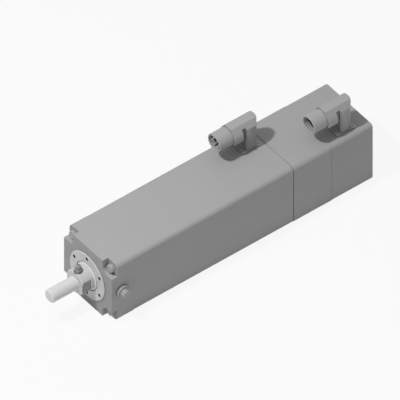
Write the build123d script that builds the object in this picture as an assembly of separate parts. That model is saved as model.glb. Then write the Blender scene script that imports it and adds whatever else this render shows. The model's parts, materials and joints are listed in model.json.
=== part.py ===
from build123d import *
import math
import os

# Electric cylinder with a built-in servo motor, a hollow rotor and a ball screw.
# Frame: the origin is the centre of the front flange's face, +X is the way the rod moves out,
# +Z is up, and the two sockets stand on the top. All sizes are in millimetres.

# Square body: four sections in a row
body_width = 82.0
collar_proud = 0.35
corner_radius = 5.0
flange_length = 30.0
gasket_thickness = 0.8
gasket_inset = 0.9
brake_housing_length = 51.7
rear_cover_length = 56.0
stator_wall = 3.2
brake_wall = 6.5
rear_cover_wall = 6.0
brake_web = 7.5
lead_channel_wall = 5.0

# Screws at the four corners of the body
corner_screw_inset = 8.5
corner_pocket_radius = 7.25
corner_pocket_depth = 7.5
flange_thread = 8.0
flange_head = 13.0
flange_head_height = 4.0
flange_thread_depth = 16.0
tie_thread = 5.0
tie_head = 8.5
tie_head_height = 5.0
tie_thread_depth = 14.0
screw_clearance = 0.3
key_share_of_head = 0.45

# Piston rod with a threaded end, wrench flats and a grease nipple
rod_diameter = 30.0
rod_shoulder = 18.0
rod_chamfer = 1.5
stud_diameter = 16.0
stud_length = 35.0
stud_chamfer = 1.5
wrench_flat_depth = 2.0
wrench_length = 12.0
rod_bore_clearance = 0.5
rod_nose = 10.0
nipple_setback = 5.0
nipple_thread = 6.0
nipple_thread_depth = 6.0
nipple_hex = 8.0
nipple_hex_height = 4.2
nipple_edge = 0.5
nipple_neck = 4.4
nipple_head = 6.4
nipple_height = 9.4
nipple_bore = 1.5
grease_hole = 3.0
stroke = 100.0
stop_gap = 1.0

# Guide and seals of the rod in the front flange
cover_diameter = 60.0
cover_proud = 1.5
cover_depth = 8.0
cover_hole_inset = 5.0
cover_hole = 4.2
cover_hole_depth = 9.0
cover_hole_count = 6
cover_hole_start_degrees = 30.0
cover_edge = 0.8
wiper_wall = 3.0
wiper_depth = 6.0
wiper_lip_wall = 1.8
wiper_lip_proud = 2.6
rod_seal_wall = 6.0
rod_seal_length = 6.0
bush_wall = 3.0
bush_length = 14.0
running_gap = 0.05
free_gap = 1.0

# Ball nut, screw and travel stops
spindle_diameter = 16.0
spindle_front_gap = 6.0
nut_diameter = 35.6
nut_length = 57.0
nut_chamfer = 0.5
nut_socket_depth = 12.0
bumper_length = 4.0

# Hollow rotor, magnets and stator
rotor_clearance = 1.0
rotor_wall = 2.0
rotor_front_gap = 1.0
rotor_hub_length = 12.0
journal_step = 0.5
magnet_thickness = 2.0
magnet_count = 8
magnet_spacing_degrees = 3.0
air_gap = 0.5
core_length = 105.0
tooth_count = 12
tooth_width = 6.5
tooth_tip_width = 11.5
tooth_tip_height = 1.0
core_yoke = 3.2
coil_side = 2.5
coil_end = 5.0
coil_gap = 0.3

# Bearings
front_bearing_section = 6.5
front_bearing_width = 7.0
front_ball = 4.2
front_ball_count = 12
spigot_length = 14.0
spindle_seat_step = 2.0
main_bearing_section = 13.0
main_bearing_width = 28.0
main_ball = 6.6
main_ball_count = 9
brake_spigot = 5.0
shield_lip = 4.0
retainer_thickness = 4.0
retainer_overlap = 4.0
retainer_screw = 3.0
retainer_screw_depth = 6.0
retainer_screw_count = 4
lock_nut_wall = 6.0
lock_nut_length = 8.0
o_ring_section = 2.0
o_ring_groove_depth = 1.6

# Holding brake
brake_journal = 14.0
brake_plate_setback = 9.0
brake_plate_thickness = 3.0
friction_disc_gap = 1.5
friction_disc_thickness = 4.0
friction_gap = 0.1
brake_hub_diameter = 20.0
brake_hub_length = 9.0
armature_clearance = 2.0
armature_thickness = 4.0
brake_stroke = 0.3
coil_pole_wall = 4.5
coil_depth = 15.0
coil_outer_wall = 1.1
brake_screw = 4.0
brake_sleeve = 6.0
brake_screw_inset = 3.5
brake_screw_count = 3
brake_screw_depth = 5.0
brake_spring = 3.0
brake_spring_depth = 8.0
brake_spring_count = 6
brake_spring_start_degrees = 30.0

# Angle sensor behind the brake
sensor_journal = 10.0
sensor_stator_diameter = 50.0
sensor_length = 14.0
sensor_rotor_diameter = 25.4
sensor_gap = 0.8
spindle_tail = 15.0

# Breather on the side of the front flange
breather_setback = 13.7
breather_height = 1.0
breather_collar = 15.6
breather_collar_height = 3.0
breather_cap = 10.4
breather_cap_height = 6.0
breather_edge = 0.5
breather_thread = 8.0
breather_thread_depth = 8.0
breather_bore = 3.0
breather_seal = 12.5
breather_seal_height = 0.8

# Angled swivel sockets on the top
power_socket_setback = 17.0
signal_socket_setback = 29.7
socket_inset = 20.5
socket_flange_radius = 3.0
socket_flange_thickness = 1.5
socket_gasket_thickness = 0.3
socket_gasket_inset = 0.5
socket_screw_spacing = 19.8
socket_screw_edge = 2.6
socket_screw = 3.0
socket_screw_head = 5.5
socket_screw_head_height = 1.7
socket_screw_sink = 1.2
socket_screw_depth = 4.2
socket_duct = 13.0
socket_tube_wall = 2.0
socket_lip = 0.6
socket_lip_height = 1.5
column_diameter = 24.0
arm_diameter = 25.0
arm_drop = 1.3
arm_flat_width = 11.2
arm_flat_rise = 12.05
arm_front = 24.25
arm_bore = 16.4
barrel_axis = 27.05
relief_start = 6.7
relief_width = 5.0
relief_top_rise = 8.95
relief_floor = 8.8
barrel_diameter = 22.0
barrel_bore = 18.0
barrel_edge = 0.45
power_barrel_length = 18.2
power_insert_setback = 7.0
power_pin_setback = 1.6
power_pin = 2.0
power_pin_circle = 11.6
power_pin_count = 6
signal_barrel_length = 17.75
signal_insert_setback = 14.0
signal_pin_setback = 8.0
signal_pin = 1.0
signal_pin_circle = 10.6
signal_pin_count = 11
insert_tail = 6.0

# Widths that follow from the sizes above
half_body = body_width / 2
half_collar = half_body + collar_proud
socket_side = half_body - socket_inset
socket_flange = socket_screw_spacing + 2 * socket_screw_edge
stator_bore = body_width - 2 * stator_wall
brake_bore = body_width - 2 * brake_wall
cover_bore = body_width - 2 * rear_cover_wall
corner_screw_offset = half_body - corner_screw_inset
pocket_edge = corner_screw_offset - corner_pocket_radius
corner_screw_steps = (-corner_screw_offset, corner_screw_offset)
corners = [(y, z) for y in corner_screw_steps for z in corner_screw_steps]
wrench_width = rod_diameter - 2 * wrench_flat_depth
rod_bore = spindle_diameter + 2 * rod_bore_clearance
rod_passage = rod_diameter + 2 * free_gap
wiper_diameter = rod_diameter + 2 * wiper_wall
wiper_lip_diameter = rod_diameter + 2 * wiper_lip_wall
rod_seal_diameter = rod_diameter + 2 * rod_seal_wall
bush_diameter = rod_diameter + 2 * bush_wall
cover_hole_circle = cover_diameter - 2 * cover_hole_inset
rotor_bore = nut_diameter + 2 * rotor_clearance
rotor_diameter = rotor_bore + 2 * rotor_wall
rotor_passage = rotor_diameter + 2 * free_gap
magnet_diameter = rotor_diameter + 2 * magnet_thickness
core_bore = magnet_diameter + 2 * air_gap
front_bearing_bore = rotor_diameter - 2 * journal_step
front_bearing_outside = front_bearing_bore + 2 * front_bearing_section
main_bearing_bore = spindle_diameter + 2 * spindle_seat_step
main_bearing_outside = main_bearing_bore + 2 * main_bearing_section
lock_nut_diameter = main_bearing_bore + 2 * lock_nut_wall
retainer_diameter = main_bearing_outside + 2 * retainer_overlap
retainer_bore = main_bearing_outside - 2 * retainer_overlap
brake_screw_circle = brake_bore - 2 * brake_screw_inset
armature_diameter = brake_bore - 2 * armature_clearance
friction_disc_diameter = brake_screw_circle - brake_sleeve - 2 * friction_disc_gap
hub_passage = brake_hub_diameter + 2 * armature_clearance
sensor_stator_bore = sensor_rotor_diameter + 2 * sensor_gap
coil_inside = hub_passage + 2 * coil_pole_wall
coil_outside = brake_screw_circle - brake_sleeve - 2 * coil_outer_wall
socket_tube = socket_duct + 2 * socket_tube_wall
socket_tube_lip = socket_tube + 2 * socket_lip

# Stations along the axis, from the flange's face to the rear
flange_rear = -flange_length
spigot_rear = flange_rear - spigot_length
bearing_seat = spigot_rear + front_bearing_width
rotor_front = bearing_seat + rotor_front_gap
bumper_front = rotor_front + free_gap
bumper_rear = bumper_front - bumper_length
nut_front = bumper_rear - stop_gap - stroke
nut_rear = nut_front - nut_length
rod_rear = nut_front - nut_socket_depth
rotor_hub_front = nut_rear - stop_gap - bumper_length
rotor_hub_rear = rotor_hub_front - rotor_hub_length
shield_front = rotor_hub_rear + shield_lip
main_bearing_rear = rotor_hub_rear - main_bearing_width
housing_rear = main_bearing_rear - brake_spigot
brake_front = housing_rear - gasket_thickness
brake_rear = brake_front - brake_housing_length
cover_rear = brake_rear - rear_cover_length
core_front = (spigot_rear + shield_front + core_length) / 2
core_rear = core_front - core_length
lock_nut_rear = main_bearing_rear - lock_nut_length
brake_plate_front = brake_front - brake_plate_setback
brake_plate_rear = brake_plate_front - brake_plate_thickness
friction_front = brake_plate_rear - friction_gap
friction_rear = friction_front - friction_disc_thickness
armature_front = friction_rear - friction_gap
armature_rear = armature_front - armature_thickness
coil_body_front = armature_rear - brake_stroke - friction_gap
web_front = brake_rear + brake_web
o_ring_front = flange_rear - spigot_length / 2 + o_ring_section / 2
o_ring_rear = o_ring_front - o_ring_section
o_ring_inside = stator_bore - 2 * o_ring_groove_depth
spindle_front = rod_shoulder - rod_nose - spindle_front_gap
spindle_rear = brake_rear - sensor_length - spindle_tail
power_socket_at = housing_rear + power_socket_setback
signal_socket_at = cover_rear + signal_socket_setback

# Heights of a socket above the face that it stands on
socket_flange_top = socket_gasket_thickness + socket_flange_thickness
socket_screw_seat = socket_flange_top - socket_screw_sink
column_bottom = socket_screw_seat + socket_screw_head_height + screw_clearance
arm_axis = barrel_axis - arm_drop
arm_bottom = arm_axis - arm_diameter / 2
socket_tube_top = arm_bottom - free_gap
arm_flat = barrel_axis + arm_flat_rise


def turned(*points):
    """Solid turned about the X axis from (x, radius) corner points."""
    outline = Polyline(*points, close=True)
    return revolve(make_face(outline), Axis.X, 360)


def tube(x_front, x_rear, outside, inside=0.0):
    """Plain ring or disc about the X axis, given by its two ends and its diameters."""
    return turned(
        (x_front, inside / 2), (x_front, outside / 2), (x_rear, outside / 2), (x_rear, inside / 2)
    )


def rod_x(x_front, x_rear, diameter, y=0.0, z=0.0):
    """Round bar along X at the place (y, z)."""
    return Pos(0, y, z) * tube(x_front, x_rear, diameter)


def post(bottom, top, diameter, x=0.0, y=0.0):
    """Round bar along Z at the place (x, y)."""
    return Pos(x, y, bottom) * extrude(Circle(diameter / 2), top - bottom)


def chamfered(shape, size):
    """Upright shape with the rim of its top chamfered."""
    return chamfer(shape.faces().sort_by(Axis.Z)[-1].edges(), size)


def square_section(x_front, x_rear, width, radius):
    """Square bar along X with rounded corners."""
    profile = Plane.YZ.offset(x_rear) * RectangleRounded(width, width, radius)
    return extrude(profile, x_front - x_rear)


def ring_places(count, circle, start=0.0):
    """Places (y, z) spread evenly on a circle about the X axis."""
    angles = [math.radians(start + 360 * i / count) for i in range(count)]
    return [(circle / 2 * math.cos(a), circle / 2 * math.sin(a)) for a in angles]


def group(solids):
    """Several separate solids as one shape."""
    return Compound(children=[solid for shape in solids for solid in shape.solids()])


def cap_screw(head_front, thread, head, head_height, length):
    """Socket head screw along -X whose head's face is at head_front."""
    seat = head_front - head_height
    body = tube(head_front, seat, head) + tube(seat, seat - length, thread)
    key_size = head * key_share_of_head
    key_floor = Plane.YZ.offset(head_front - key_size / 2)
    key = extrude(key_floor * RegularPolygon(key_size / 2, 6, major_radius=False), head_height)
    rim = body.edges().filter_by(GeomType.CIRCLE).sort_by(Axis.X)[-1]
    return chamfer(rim, head_height / 10) - key


def ball_bearing(x_front, width, bore, outside, ball, count, rows):
    """Outer ring, inner ring and balls of a bearing whose front face is at x_front."""
    pitch = (bore + outside) / 4
    shoulder = ball * 0.3
    outer = tube(x_front, x_front - width, outside, 2 * (pitch + shoulder))
    inner = tube(x_front, x_front - width, 2 * (pitch - shoulder), bore)
    balls = []
    for row in range(rows):
        x = x_front - width * (row + 0.5) / rows
        track = revolve(Pos(x, pitch) * Circle(ball / 2 + running_gap), Axis.X, 360)
        outer -= track
        inner -= track
        for y, z in ring_places(count, 2 * pitch, 180 * row / count):
            balls.append(Pos(x, y, z) * Sphere(ball / 2))
    return outer, inner, group(balls)


# Body sections
def make_front_flange():
    body = square_section(0, flange_rear, 2 * half_collar, corner_radius + collar_proud)
    body += tube(flange_rear, spigot_rear, stator_bore)
    body -= tube(o_ring_front, o_ring_rear, 2 * body_width, o_ring_inside)
    for y, z in corners:
        body -= corner_pocket(math.copysign(1, y), math.copysign(1, z))
        body -= rod_x(0, flange_rear, flange_thread + 2 * screw_clearance, y, z)
    seal_rear = -cover_depth - rod_seal_length
    bush_rear = seal_rear - bush_length
    body -= tube(0, -cover_depth, cover_diameter)
    body -= tube(-cover_depth, seal_rear, rod_seal_diameter)
    body -= tube(seal_rear, bush_rear, bush_diameter)
    body -= tube(bush_rear, spigot_rear, rod_passage)
    body -= tube(bumper_front, spigot_rear, rotor_passage)
    body -= tube(bearing_seat, spigot_rear, front_bearing_outside)
    return body - breather_ducts()


def corner_pocket(side_y, side_z):
    """Open corner of the flange's face, with a round inner corner about its screw."""
    width = 2 * (half_collar - pocket_edge) + 2 * corner_pocket_radius
    centre = pocket_edge + width / 2
    floor = Plane.YZ.offset(-corner_pocket_depth) * Pos(side_y * centre, side_z * centre)
    return extrude(floor * RectangleRounded(width, width, corner_pocket_radius), corner_pocket_depth)


def breather_ducts():
    inner_y = (rod_seal_diameter + breather_bore) / 2
    side = Pos(-breather_setback, half_collar, breather_height) * Rot(90, 0, 0)
    thread = side * extrude(Circle(breather_thread / 2), breather_thread_depth)
    cross = side * extrude(Circle(breather_bore / 2), half_collar - inner_y)
    along = rod_x(-breather_setback, rotor_front, breather_bore, inner_y, breather_height)
    return thread + cross + along


def make_stator_housing():
    body = square_section(flange_rear, housing_rear, body_width, corner_radius)
    body -= tube(flange_rear, housing_rear, stator_bore)
    for y, z in corners:
        body -= rod_x(flange_rear, flange_rear - flange_thread_depth, flange_thread, y, z)
        body -= rod_x(housing_rear + tie_thread_depth, housing_rear, tie_thread, y, z)
    return body - socket_holes(power_socket_at, -socket_side) - lead_channel()


def lead_channel():
    """Way for the motor leads past the bearing shield to the power socket."""
    rear = power_socket_at - socket_duct / 2
    length = shield_front + socket_duct - rear
    height = half_body - lead_channel_wall
    channel = Box(length, socket_duct, height, align=(Align.MIN, Align.CENTER, Align.MIN))
    return Pos(rear, -socket_side, 0) * channel


def socket_holes(x, y):
    holes = post(0, half_body, socket_duct, x, y)
    for dx, dy in socket_corners():
        holes += post(half_body - socket_screw_depth, half_body, socket_screw, x + dx, y + dy)
    return holes


def make_housing_gasket():
    width = body_width - 2 * gasket_inset
    body = square_section(housing_rear, brake_front, width, corner_radius - gasket_inset)
    body -= tube(housing_rear, brake_front, stator_bore)
    for y, z in corners:
        body -= rod_x(housing_rear, brake_front, tie_thread + 2 * screw_clearance, y, z)
    return body


def make_brake_housing():
    body = square_section(brake_front, brake_rear, 2 * half_collar, corner_radius + collar_proud)
    body += tube(main_bearing_rear, brake_front, stator_bore)
    body -= tube(main_bearing_rear, web_front, brake_bore)
    body -= tube(web_front, brake_rear, brake_journal + 2 * free_gap)
    for y, z in corners:
        body -= rod_x(brake_front, brake_rear, tie_thread + 2 * screw_clearance, y, z)
    for y, z in brake_screw_places():
        body -= rod_x(web_front, web_front - brake_screw_depth, brake_screw, y, z)
    return body


def make_rear_cover():
    body = square_section(brake_rear, cover_rear, body_width, corner_radius)
    rear_edges = body.faces().sort_by(Axis.X)[0].edges()
    body = chamfer(rear_edges, 2 * collar_proud)
    body -= tube(brake_rear, cover_rear + rear_cover_wall, cover_bore)
    for y, z in corners:
        body -= rod_x(brake_rear, cover_rear, tie_thread + 2 * screw_clearance, y, z)
        body -= rod_x(cover_rear + tie_head_height, cover_rear, tie_head + 2 * screw_clearance, y, z)
    return body - socket_holes(signal_socket_at, socket_side)


def make_flange_screws():
    seat = -corner_pocket_depth
    length = flange_length - corner_pocket_depth + flange_thread_depth - 2 * screw_clearance
    screw = cap_screw(seat + flange_head_height, flange_thread, flange_head, flange_head_height, length)
    return group([Pos(0, y, z) * screw for y, z in corners])


def make_tie_screws():
    length = housing_rear + tie_thread_depth - cover_rear - tie_head_height - 2 * screw_clearance
    screw = mirror(cap_screw(-cover_rear, tie_thread, tie_head, tie_head_height, length), Plane.YZ)
    return group([Pos(0, y, z) * screw for y, z in corners])


def make_front_o_ring():
    return tube(o_ring_front, o_ring_rear, stator_bore, o_ring_inside)


# Rod guide
def make_rod_guide_cover():
    body = turned(
        (-cover_depth, rod_passage / 2),
        (-cover_depth, cover_diameter / 2),
        (cover_proud - cover_edge, cover_diameter / 2),
        (cover_proud, cover_diameter / 2 - cover_edge),
        (cover_proud, wiper_diameter / 2),
        (-wiper_depth, wiper_diameter / 2),
        (-wiper_depth, rod_passage / 2),
    )
    for y, z in ring_places(cover_hole_count, cover_hole_circle, cover_hole_start_degrees):
        body -= rod_x(cover_proud, cover_proud - cover_hole_depth, cover_hole, y, z)
    return body


def make_wiper_ring():
    inside = rod_diameter / 2 + running_gap
    return turned(
        (-wiper_depth, inside),
        (-wiper_depth, wiper_diameter / 2),
        (0, wiper_diameter / 2),
        (0, wiper_lip_diameter / 2),
        (wiper_lip_proud - wiper_lip_wall / 2, wiper_lip_diameter / 2),
        (wiper_lip_proud, inside + wiper_lip_wall / 4),
        (wiper_lip_proud, inside),
    )


def make_rod_seal():
    rear = -cover_depth - rod_seal_length
    return tube(-cover_depth, rear, rod_seal_diameter, rod_diameter + 2 * running_gap)


def make_guide_bush():
    front = -cover_depth - rod_seal_length
    return tube(front, front - bush_length, bush_diameter, rod_diameter + 2 * running_gap)


# Rod, nut and screw
def make_piston_rod():
    shoulder = rod_shoulder
    tip = shoulder + stud_length
    bore_front = shoulder - rod_nose
    nipple_at = shoulder - nipple_setback
    body = turned(
        (rod_rear, rod_bore / 2),
        (rod_rear, rod_diameter / 2),
        (shoulder - rod_chamfer, rod_diameter / 2),
        (shoulder, rod_diameter / 2 - rod_chamfer),
        (shoulder, stud_diameter / 2),
        (tip - stud_chamfer, stud_diameter / 2),
        (tip, stud_diameter / 2 - stud_chamfer),
        (tip, 0),
        (bore_front, 0),
        (bore_front, rod_bore / 2),
    )
    flat_cut = Box(wrench_length, wrench_flat_depth, rod_diameter)
    flat_at = Pos(shoulder - wrench_length / 2, 0, 0)
    for side in (-1, 1):
        body -= flat_at * Pos(0, side * (wrench_width + wrench_flat_depth) / 2, 0) * flat_cut
    seat = nipple_seat()
    body -= post(seat, rod_diameter, nipple_hex + 2 * free_gap, nipple_at)
    body -= post(seat - nipple_thread_depth, seat, nipple_thread, nipple_at)
    body -= post(-grease_hole / 2, seat, grease_hole, nipple_at)
    body -= rod_x(nipple_at, bore_front, grease_hole)
    return body


def nipple_seat():
    """Height of the small flat that the grease nipple is screwed down on."""
    reach = nipple_hex / 2 + free_gap
    return math.sqrt((rod_diameter / 2) ** 2 - reach**2)


def make_grease_nipple():
    at = rod_shoulder - nipple_setback
    seat = nipple_seat()
    bottom = seat - nipple_thread_depth
    head_centre = seat + nipple_height - nipple_head / 2
    hexagon = RegularPolygon(nipple_hex / 2, 6, major_radius=False)
    body = Pos(at, 0, seat) * chamfered(extrude(hexagon, nipple_hex_height), nipple_edge)
    body += post(seat, head_centre, nipple_neck, at)
    body += post(bottom, seat, nipple_thread, at)
    body += Pos(at, 0, head_centre) * Sphere(nipple_head / 2)
    return body - post(bottom, seat + nipple_height, nipple_bore, at)


def make_ball_nut():
    socket_rear = nut_front - nut_socket_depth
    inside = spindle_diameter / 2 + running_gap
    step = nut_chamfer
    return turned(
        (nut_front, rod_diameter / 2),
        (nut_front, nut_diameter / 2 - step),
        (nut_front - step, nut_diameter / 2),
        (nut_rear + step, nut_diameter / 2),
        (nut_rear, nut_diameter / 2 - step),
        (nut_rear, inside),
        (socket_rear, inside),
        (socket_rear, rod_diameter / 2),
    )


def make_screw_spindle():
    front = spindle_front
    thread = spindle_diameter / 2
    seat = main_bearing_bore / 2
    return turned(
        (front, 0),
        (front, thread - rod_chamfer),
        (front - rod_chamfer, thread),
        (rotor_hub_front, thread),
        (rotor_hub_front, seat),
        (lock_nut_rear, seat),
        (lock_nut_rear, brake_journal / 2),
        (brake_rear, brake_journal / 2),
        (brake_rear, sensor_journal / 2),
        (spindle_rear, sensor_journal / 2),
        (spindle_rear, 0),
    )


def make_front_bumper():
    return tube(bumper_front, bumper_rear, nut_diameter, rod_passage)


def make_rear_bumper():
    front = rotor_hub_front + bumper_length
    return tube(front, rotor_hub_front, rotor_bore, spindle_diameter + 2 * free_gap)


# Motor
def make_rotor_sleeve():
    return turned(
        (rotor_front, rotor_bore / 2),
        (rotor_front, front_bearing_bore / 2),
        (spigot_rear, front_bearing_bore / 2),
        (spigot_rear, rotor_diameter / 2),
        (rotor_hub_rear, rotor_diameter / 2),
        (rotor_hub_rear, main_bearing_bore / 2),
        (rotor_hub_front, main_bearing_bore / 2),
        (rotor_hub_front, rotor_bore / 2),
    )


def make_rotor_magnets():
    step = 360 / magnet_count
    centre = Pos((core_front + core_rear) / 2, rotor_diameter / 2 + magnet_thickness / 2)
    section = centre * Rectangle(core_length, magnet_thickness)
    magnet = revolve(section, Axis.X, step - magnet_spacing_degrees)
    return group([Rot(step * i, 0, 0) * magnet for i in range(magnet_count)])


def make_stator_core():
    inside = core_bore / 2
    outside = stator_bore / 2
    yoke = Circle(outside) - Circle(outside - core_yoke)
    reach = outside - core_yoke / 2
    foot = inside - tooth_tip_height
    tooth = Pos((foot + reach) / 2, 0) * Rectangle(reach - foot, tooth_width)
    tip = Pos(inside, 0) * Rectangle(2 * tooth_tip_height, tooth_tip_width)
    section = yoke
    for i in range(tooth_count):
        section += Rot(0, 0, 360 * i / tooth_count) * (tooth + tip)
    section -= Circle(inside)
    return extrude(Plane.YZ.offset(core_rear) * section, core_length)


def make_stator_coils():
    bottom = core_bore / 2 + tooth_tip_height + coil_gap
    top = stator_bore / 2 - core_yoke - 2 * coil_gap
    height = top - bottom
    inner_length = core_length + 2 * coil_gap
    inner_width = tooth_width + coil_gap
    outer_length = inner_length + 2 * coil_end
    outer_width = inner_width + 2 * coil_side
    loop = Pos((core_front + core_rear) / 2, 0) * (
        RectangleRounded(outer_length, outer_width, coil_side) - Rectangle(inner_length, inner_width)
    )
    coil = Pos(0, 0, bottom) * extrude(loop, height)
    return group([Rot(360 * i / tooth_count, 0, 0) * Rot(90, 0, 0) * coil for i in range(tooth_count)])


# Rear bearing unit
def make_bearing_shield():
    lip = rotor_passage / 2
    body = turned(
        (shield_front, lip),
        (shield_front, stator_bore / 2),
        (main_bearing_rear, stator_bore / 2),
        (main_bearing_rear, main_bearing_outside / 2),
        (rotor_hub_rear, main_bearing_outside / 2),
        (rotor_hub_rear, lip),
    )
    for y, z in retainer_places():
        body -= rod_x(main_bearing_rear + retainer_screw_depth, main_bearing_rear, retainer_screw, y, z)
    return body


def retainer_places():
    return ring_places(retainer_screw_count, (main_bearing_outside + retainer_diameter) / 2, 45)


def make_bearing_retainer():
    body = tube(main_bearing_rear, main_bearing_rear - retainer_thickness, retainer_diameter, retainer_bore)
    for y, z in retainer_places():
        body -= rod_x(main_bearing_rear, main_bearing_rear - retainer_thickness, retainer_screw, y, z)
    return body


def make_retainer_screws():
    rear = main_bearing_rear - retainer_thickness
    screw = rod_x(main_bearing_rear + retainer_screw_depth - screw_clearance, rear, retainer_screw)
    screw += tube(rear, rear - retainer_screw / 2, retainer_overlap)
    return group([Pos(0, y, z) * screw for y, z in retainer_places()])


def make_bearing_lock_nut():
    return tube(main_bearing_rear, lock_nut_rear, lock_nut_diameter, main_bearing_bore)


# Holding brake
def brake_screw_places():
    return ring_places(brake_screw_count, brake_screw_circle, 90)


def make_brake_plate():
    body = tube(brake_plate_front, brake_plate_rear, brake_bore, retainer_bore)
    for y, z in brake_screw_places():
        body -= rod_x(brake_plate_front, brake_plate_rear, brake_screw, y, z)
    return body


def make_friction_disc():
    return tube(friction_front, friction_rear, friction_disc_diameter, brake_hub_diameter)


def make_brake_hub():
    front = (friction_front + friction_rear + brake_hub_length) / 2
    return tube(front, front - brake_hub_length, brake_hub_diameter, brake_journal)


def make_brake_armature():
    body = tube(armature_front, armature_rear, armature_diameter, hub_passage)
    for y, z in brake_screw_places():
        body -= rod_x(armature_front, armature_rear, brake_sleeve + 2 * running_gap, y, z)
    return body


def make_brake_coil_body():
    coil_rear = coil_body_front - coil_depth
    body = turned(
        (coil_body_front, hub_passage / 2),
        (coil_body_front, coil_inside / 2),
        (coil_rear, coil_inside / 2),
        (coil_rear, coil_outside / 2),
        (coil_body_front, coil_outside / 2),
        (coil_body_front, brake_bore / 2),
        (web_front, brake_bore / 2),
        (web_front, hub_passage / 2),
    )
    for y, z in brake_screw_places():
        body -= rod_x(coil_body_front, web_front, brake_screw, y, z)
    for y, z in brake_spring_places():
        body -= rod_x(coil_body_front, coil_body_front - brake_spring_depth, brake_spring, y, z)
    return body


def brake_spring_places():
    circle = (hub_passage + coil_inside) / 2
    return ring_places(brake_spring_count, circle, brake_spring_start_degrees)


def make_brake_coil():
    return tube(coil_body_front - friction_gap, coil_body_front - coil_depth, coil_outside, coil_inside)


def make_brake_springs():
    front = coil_body_front
    spring = tube(front, front - brake_spring_depth, brake_spring, brake_spring / 2)
    return group([Pos(0, y, z) * spring for y, z in brake_spring_places()])


def make_brake_screws():
    """Long screws with their spacer sleeves between the plate and the coil body."""
    front = brake_plate_front
    rear = web_front - brake_screw_depth + screw_clearance
    screw = tube(front, rear, brake_screw) + tube(front + brake_screw / 2, front, brake_sleeve)
    screw += tube(brake_plate_rear, coil_body_front, brake_sleeve)
    return group([Pos(0, y, z) * screw for y, z in brake_screw_places()])


# Angle sensor
def make_sensor_stator():
    return tube(brake_rear, brake_rear - sensor_length, sensor_stator_diameter, sensor_stator_bore)


def make_sensor_rotor():
    return tube(brake_rear, brake_rear - sensor_length, sensor_rotor_diameter, sensor_journal)


# Breather
def breather_frame():
    return Pos(-breather_setback, half_collar, breather_height) * Rot(-90, 0, 0)


def make_breather_fitting():
    seat = breather_seal_height
    collar_top = seat + breather_collar_height
    body = chamfered(post(seat, collar_top, breather_collar), breather_edge)
    body += chamfered(post(collar_top, collar_top + breather_cap_height, breather_cap), breather_edge)
    body += post(-breather_thread_depth, seat, breather_thread)
    return breather_frame() * (body - post(-breather_thread_depth, collar_top, breather_bore))


def make_breather_seal():
    ring = Circle(breather_seal / 2) - Circle(breather_thread / 2)
    return breather_frame() * extrude(ring, breather_seal_height)


# Angled swivel sockets, made about their own upright axis on a mounting face at height zero
def socket_corners():
    half = socket_screw_spacing / 2
    return [(x, y) for x in (-half, half) for y in (-half, half)]


def make_socket_gasket():
    width = socket_flange - 2 * socket_gasket_inset
    sheet = RectangleRounded(width, width, socket_flange_radius - socket_gasket_inset)
    sheet -= Circle(socket_duct / 2)
    for x, y in socket_corners():
        sheet -= Pos(x, y) * Circle(socket_screw / 2)
    return extrude(sheet, socket_gasket_thickness)


def make_socket_base():
    square = RectangleRounded(socket_flange, socket_flange, socket_flange_radius)
    base = Pos(0, 0, socket_gasket_thickness) * extrude(square, socket_flange_thickness)
    base += post(socket_flange_top, socket_tube_top, socket_tube)
    base += post(socket_tube_top - socket_lip_height, socket_tube_top, socket_tube_lip)
    base -= post(0, socket_tube_top, socket_duct)
    for x, y in socket_corners():
        base -= post(0, socket_flange_top, socket_screw, x, y)
        base -= post(socket_screw_seat, socket_flange_top, socket_screw_head + screw_clearance, x, y)
    return base


def make_socket_screws():
    key = RegularPolygon(socket_screw_head * key_share_of_head / 2, 6, major_radius=False)
    head = extrude(Circle(socket_screw_head / 2) - key, socket_screw_head_height)
    screws = []
    for x, y in socket_corners():
        shank = post(screw_clearance - socket_screw_depth, socket_screw_seat, socket_screw, x, y)
        core = post(socket_screw_seat, socket_screw_seat + socket_screw_head_height / 3, socket_screw, x, y)
        screws.append(Pos(x, y, socket_screw_seat) * head + shank + core)
    return group(screws)


def make_socket_elbow():
    """Swivel elbow: an upright column and a level arm with a flat top, hollow inside."""
    below_axis = Box(arm_diameter, arm_diameter, arm_axis, align=(Align.CENTER, Align.CENTER, Align.MIN))
    outline = arm_bar(column_diameter, -column_diameter) + below_axis
    column = post(column_bottom, arm_flat, column_diameter) & outline
    body = column + arm_bar(arm_front, relief_start)
    for side in (-1, 1):
        body -= screw_relief(side)
    inside = socket_tube_lip + 2 * running_gap
    body -= post(column_bottom, barrel_axis, socket_tube + 2 * running_gap)
    body -= post(socket_tube_top - socket_lip_height - running_gap, barrel_axis, inside)
    body -= Pos(0, 0, barrel_axis) * Sphere(inside / 2)
    return body - level_tube(arm_front, 0, arm_bore)


def arm_bar(x_front, x_rear):
    """Bar with the arm's outline: a round whose sides rise in tangents to the flat top."""
    radius = arm_diameter / 2
    half_flat = arm_flat_width / 2
    rise = arm_flat - arm_axis
    turn = math.atan2(half_flat, rise) + math.acos(radius / math.hypot(half_flat, rise))
    side = radius * math.sin(turn)
    shoulder = radius * math.cos(turn)
    crown = Polyline((half_flat, rise), (side, shoulder), (-side, shoulder), (-half_flat, rise), close=True)
    outline = Circle(radius) + make_face(crown)
    return extrude(Plane.YZ.offset(x_rear) * Pos(0, arm_axis) * outline, x_front - x_rear)


def level_tube(x_front, x_rear, outside, inside=0.0):
    """Ring or disc about the level axis of a socket's barrel."""
    return Pos(0, 0, barrel_axis) * tube(x_front, x_rear, outside, inside)


def screw_relief(side):
    """Upright slot with a round top in the elbow's side, over a flange screw."""
    centre = relief_start + relief_width / 2
    top = barrel_axis + relief_top_rise - relief_width / 2
    outline = Pos(centre, (arm_bottom + top) / 2) * Rectangle(relief_width, top - arm_bottom)
    outline += Pos(centre, top) * Circle(relief_width / 2)
    return Pos(0, side * relief_floor, 0) * extrude(Plane.XZ * outline, -side * arm_diameter / 2)


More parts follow.
